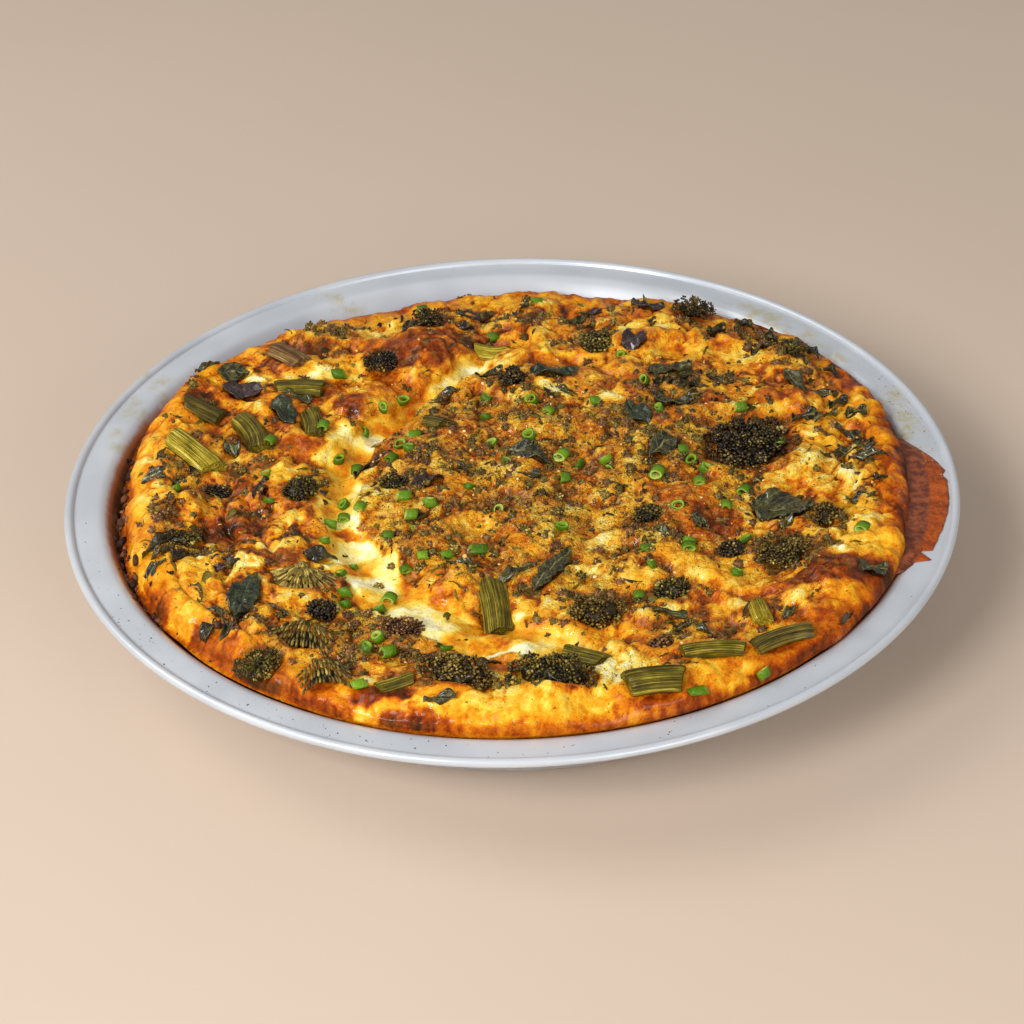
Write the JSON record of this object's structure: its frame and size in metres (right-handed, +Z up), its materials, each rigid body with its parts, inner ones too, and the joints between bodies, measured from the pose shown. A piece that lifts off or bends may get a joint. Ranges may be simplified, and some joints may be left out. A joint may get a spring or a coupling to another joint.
{
  "type": "crustless quiche",
  "caption": "Round crustless egg bake topped with broccoli, dark leaves and sliced chives, in its own shallow flared tin.",
  "frame": {"origin": "middle of the underside of the tin", "axes": "+Z up out of the tin, -Y the side nearest the viewer in the picture, +X the side with the baked-on overflow"},
  "size_m": [0.2894, 0.29, 0.0493],
  "materials": {
    "coated_tin": "satin",
    "baked_egg": "satin",
    "broccoli_head": "matte",
    "broccoli_stalk": "satin",
    "baked_leaf": "satin"
  },
  "bodies": {
    "root": {"tin": "coated_tin", "custard": "baked_egg", "floret_right_large": "broccoli_head", "floret_front_large": "broccoli_head", "floret_front_left": "broccoli_head", "floret_left_front": "broccoli_head", "floret_middle_front": "broccoli_head", "floret_right_middle": "broccoli_head", "floret_back_left": "broccoli_head", "floret_back_edge": "broccoli_head", "floret_back_middle": "broccoli_head", "floret_back_small": "broccoli_head", "floret_left_middle": "broccoli_head", "floret_left_small": "broccoli_head", "floret_left_flat": "broccoli_head", "floret_hollow_side": "broccoli_head", "floret_upper_left": "broccoli_head", "floret_right_front": "broccoli_head", "floret_centre_right": "broccoli_head", "floret_purple": "broccoli_head", "floret_front_dark": "broccoli_head", "floret_right_small": "broccoli_head", "floret_far_right": "broccoli_head", "floret_back_right": "broccoli_head", "floret_brown": "broccoli_head", "floret_fan": "broccoli_head", "floret_curl": "broccoli_head", "floret_curl_front": "broccoli_head", "stalk_left_large": "broccoli_stalk", "stalk_left_upright": "broccoli_stalk", "stalk_upper_left": "broccoli_stalk", "stalk_brown": "broccoli_stalk", "stalk_back_left": "broccoli_stalk", "stalk_hollow_side": "broccoli_stalk", "stalk_back_pale": "broccoli_stalk", "stalk_middle": "broccoli_stalk", "stalk_front_slant": "broccoli_stalk", "stalk_front_thick": "broccoli_stalk", "stalk_front_long": "broccoli_stalk", "stalk_twisted": "broccoli_stalk", "stalk_right_upright": "broccoli_stalk", "stalk_front_small": "broccoli_stalk", "stalk_small": "broccoli_stalk", "leaf_right_large": "baked_leaf", "leaf_diagonal": "baked_leaf", "leaf_teal": "baked_leaf", "leaf_back": "baked_leaf", "leaf_centre_right": "baked_leaf", "leaf_centre_slant": "baked_leaf", "leaf_centre_dark": "baked_leaf", "leaf_back_olive": "baked_leaf", "leaf_back_purple": "baked_leaf", "leaf_left_upper": "baked_leaf", "leaf_left_purple": "baked_leaf", "leaf_left_green": "baked_leaf", "leaf_left_wrinkled": "baked_leaf", "leaf_centre": "baked_leaf", "leaf_black": "baked_leaf", "leaf_far_right": "baked_leaf", "leaf_edge_right": "baked_leaf"}
  },
  "joints": []
}
